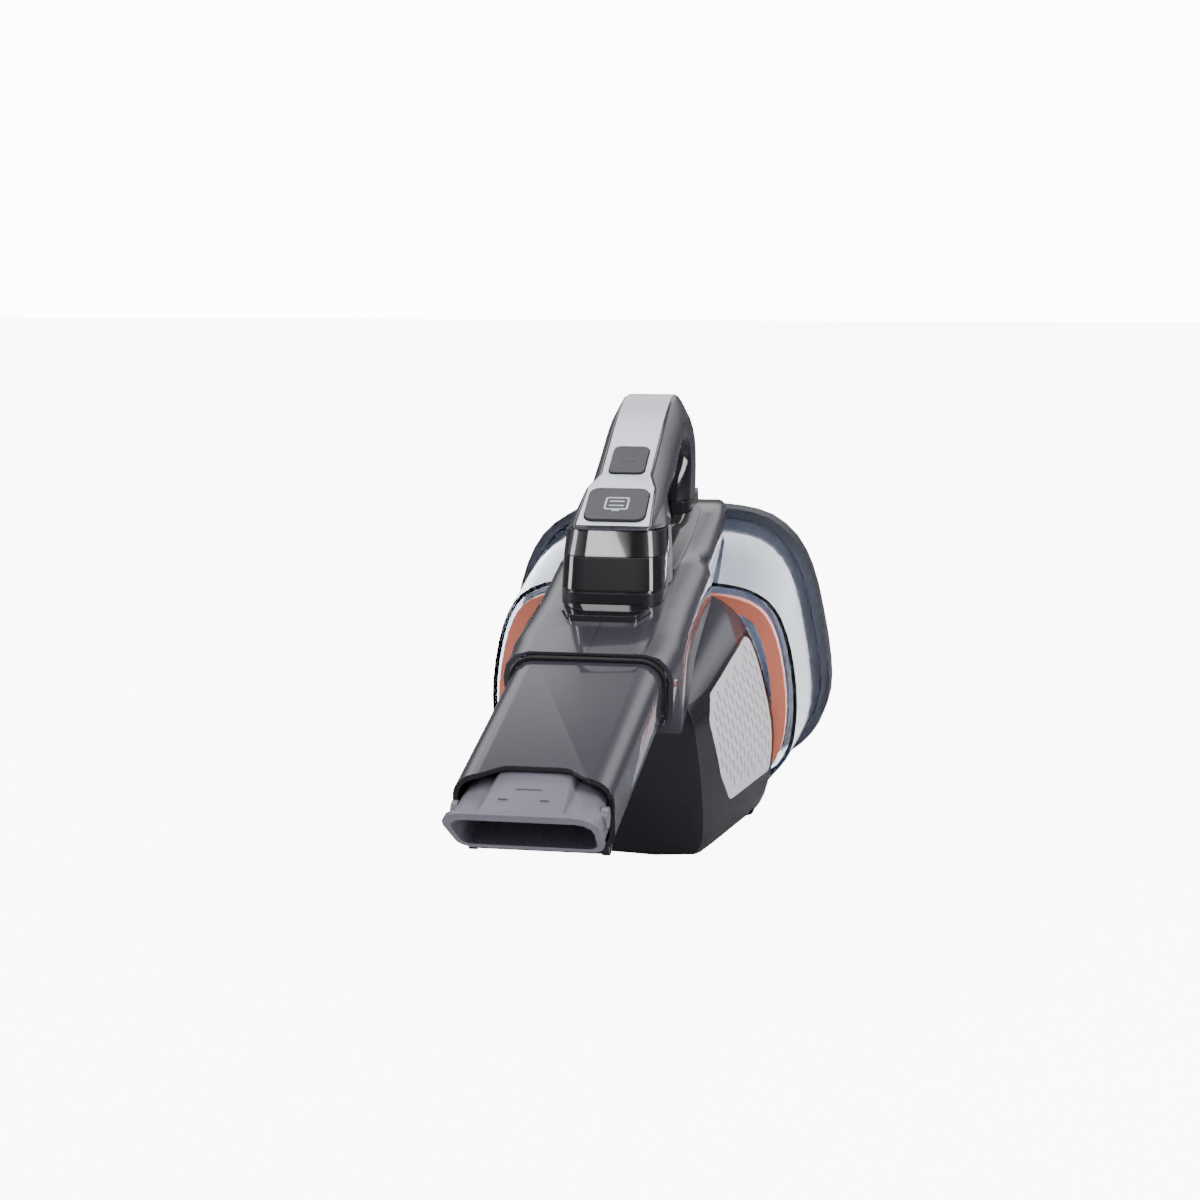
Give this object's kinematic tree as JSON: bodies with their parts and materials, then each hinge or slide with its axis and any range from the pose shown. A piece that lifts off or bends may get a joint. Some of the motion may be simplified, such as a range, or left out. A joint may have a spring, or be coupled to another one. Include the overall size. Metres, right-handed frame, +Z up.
{
  "type": "handheld vacuum",
  "caption": "Cordless hand vacuum with a sliding crevice nozzle, loop handle, vented motor base, clear dust bowl, hinged rear door and flip-out dusting brush.",
  "frame": {"origin": "centre of the footprint box on the floor plane, under the middle of the vacuum", "axes": "+Z up, nozzle towards -Y, rear door towards +Y, +X to the right seen from the nozzle's side looking along +Y"},
  "size_m": [0.1744, 0.4116, 0.2055],
  "materials": {
    "titanium": "glossy titanium grey moulding",
    "pale_plastic": "pale lavender grey, satin",
    "silver_strip": "silver paint on plastic",
    "black_gloss": "piano black",
    "black_satin": "satin black",
    "rim_grey": "dark slate grey",
    "key_grey": "dark grey key, satin",
    "vent_pale": "near white, fine holes",
    "clear_bowl": "clear polycarbonate, faint blue",
    "salmon": "salmon red sealing ring",
    "rubber": "black rubber",
    "steel": "steel",
    "brass": "plated contact",
    "cell_wrap": "shrink wrap on cells",
    "board": "circuit board",
    "paper": "pleated filter medium"
  },
  "bodies": {
    "body": {"nozzle_duct": "titanium", "duct_gasket": "rubber", "front_post_lower": "black_gloss", "front_post_upper": "black_gloss", "rear_post": "black_gloss", "grip_floor": "black_gloss", "handle_strip": "silver_strip", "power_switch_board": "board", "boost_switch_board": "board", "handle_right": "titanium", "handle_left": "titanium", "spine_right": "titanium", "spine_left": "titanium", "dust_bowl": "clear_bowl", "bowl_gasket": "salmon", "filter_mount": "black_satin", "pleated_filter": "paper", "mesh_sleeve": "steel", "hinge_pin": "steel", "base_shell": "black_gloss", "vent_right": "vent_pale", "vent_left": "vent_pale", "cheek_right": "titanium", "cheek_left": "titanium", "foot_1": "rubber", "foot_2": "rubber", "foot_3": "rubber", "foot_4": "rubber", "base_screw_1": "steel", "base_screw_2": "steel", "base_screw_3": "steel", "base_screw_4": "steel", "charge_contact_right": "brass", "charge_contact_left": "brass", "charge_block": "black_satin", "motor_can": "steel", "motor_mount": "rubber", "battery_cell_1": "cell_wrap", "battery_cell_2": "cell_wrap", "battery_cell_3": "cell_wrap", "battery_cell_4": "cell_wrap", "cell_holder": "black_satin", "control_board": "board", "inlet_tube": "black_satin"},
    "tip": {"nozzle_tip": "pale_plastic"},
    "brush": {"brush_frame": "black_satin", "brush_bristles": "rubber"},
    "release_button": {"release_button": "black_gloss"},
    "power_key": {"power_key": "key_grey"},
    "boost_key": {"boost_key": "key_grey"},
    "flap": {"inlet_flap": "rubber"},
    "door": {"rear_door": "rim_grey"},
    "dial": {"filter_dial": "key_grey"},
    "latch": {"door_latch": "key_grey"},
    "rotor": {"fan_wheel": "black_satin", "motor_shaft": "steel"}
  },
  "joints": [
    {"name": "tip_slide", "type": "slide", "parent": "body", "child": "tip", "axis": [0, -0.9781, -0.2079], "range_m": [0, 0.06]},
    {"name": "brush_flip", "type": "hinge", "parent": "body", "child": "brush", "pos_m": [0, -0.1606, 0.04748], "axis": [-1, 0, 0], "range_deg": [0, 165]},
    {"name": "release_press", "type": "slide", "parent": "body", "child": "release_button", "axis": [0, 0, -1], "range_m": [0, 0.0016], "stiffness_N_per_m": 400, "springref_m": -0.001},
    {"name": "power_press", "type": "slide", "parent": "body", "child": "power_key", "axis": [0, 0.5028, -0.8644], "range_m": [0, 0.0012], "stiffness_N_per_m": 500, "springref_m": -0.001},
    {"name": "boost_press", "type": "slide", "parent": "body", "child": "boost_key", "axis": [0, 0.4731, -0.881], "range_m": [0, 0.0012], "stiffness_N_per_m": 500, "springref_m": -0.001},
    {"name": "flap_swing", "type": "hinge", "parent": "body", "child": "flap", "pos_m": [0, 0.09865, 0.1076], "axis": [1, 0, 0], "range_deg": [0, 60]},
    {"name": "door_open", "type": "hinge", "parent": "body", "child": "door", "pos_m": [0, 0.17385, 0.1485], "axis": [1, 0, 0], "range_deg": [0, 70]},
    {"name": "dial_turn", "type": "hinge", "parent": "door", "child": "dial", "pos_m": [0, 0.19585, 0.066], "axis": [0, 1, 0], "continuous": true},
    {"name": "latch_slide", "type": "slide", "parent": "door", "child": "latch", "axis": [0, 0, 1], "range_m": [0, 0.004], "stiffness_N_per_m": 150, "springref_m": -0.002},
    {"name": "fan_spin", "type": "hinge", "parent": "body", "child": "rotor", "pos_m": [0, 0.07685, 0.05], "axis": [0, 1, 0], "continuous": true}
  ]
}
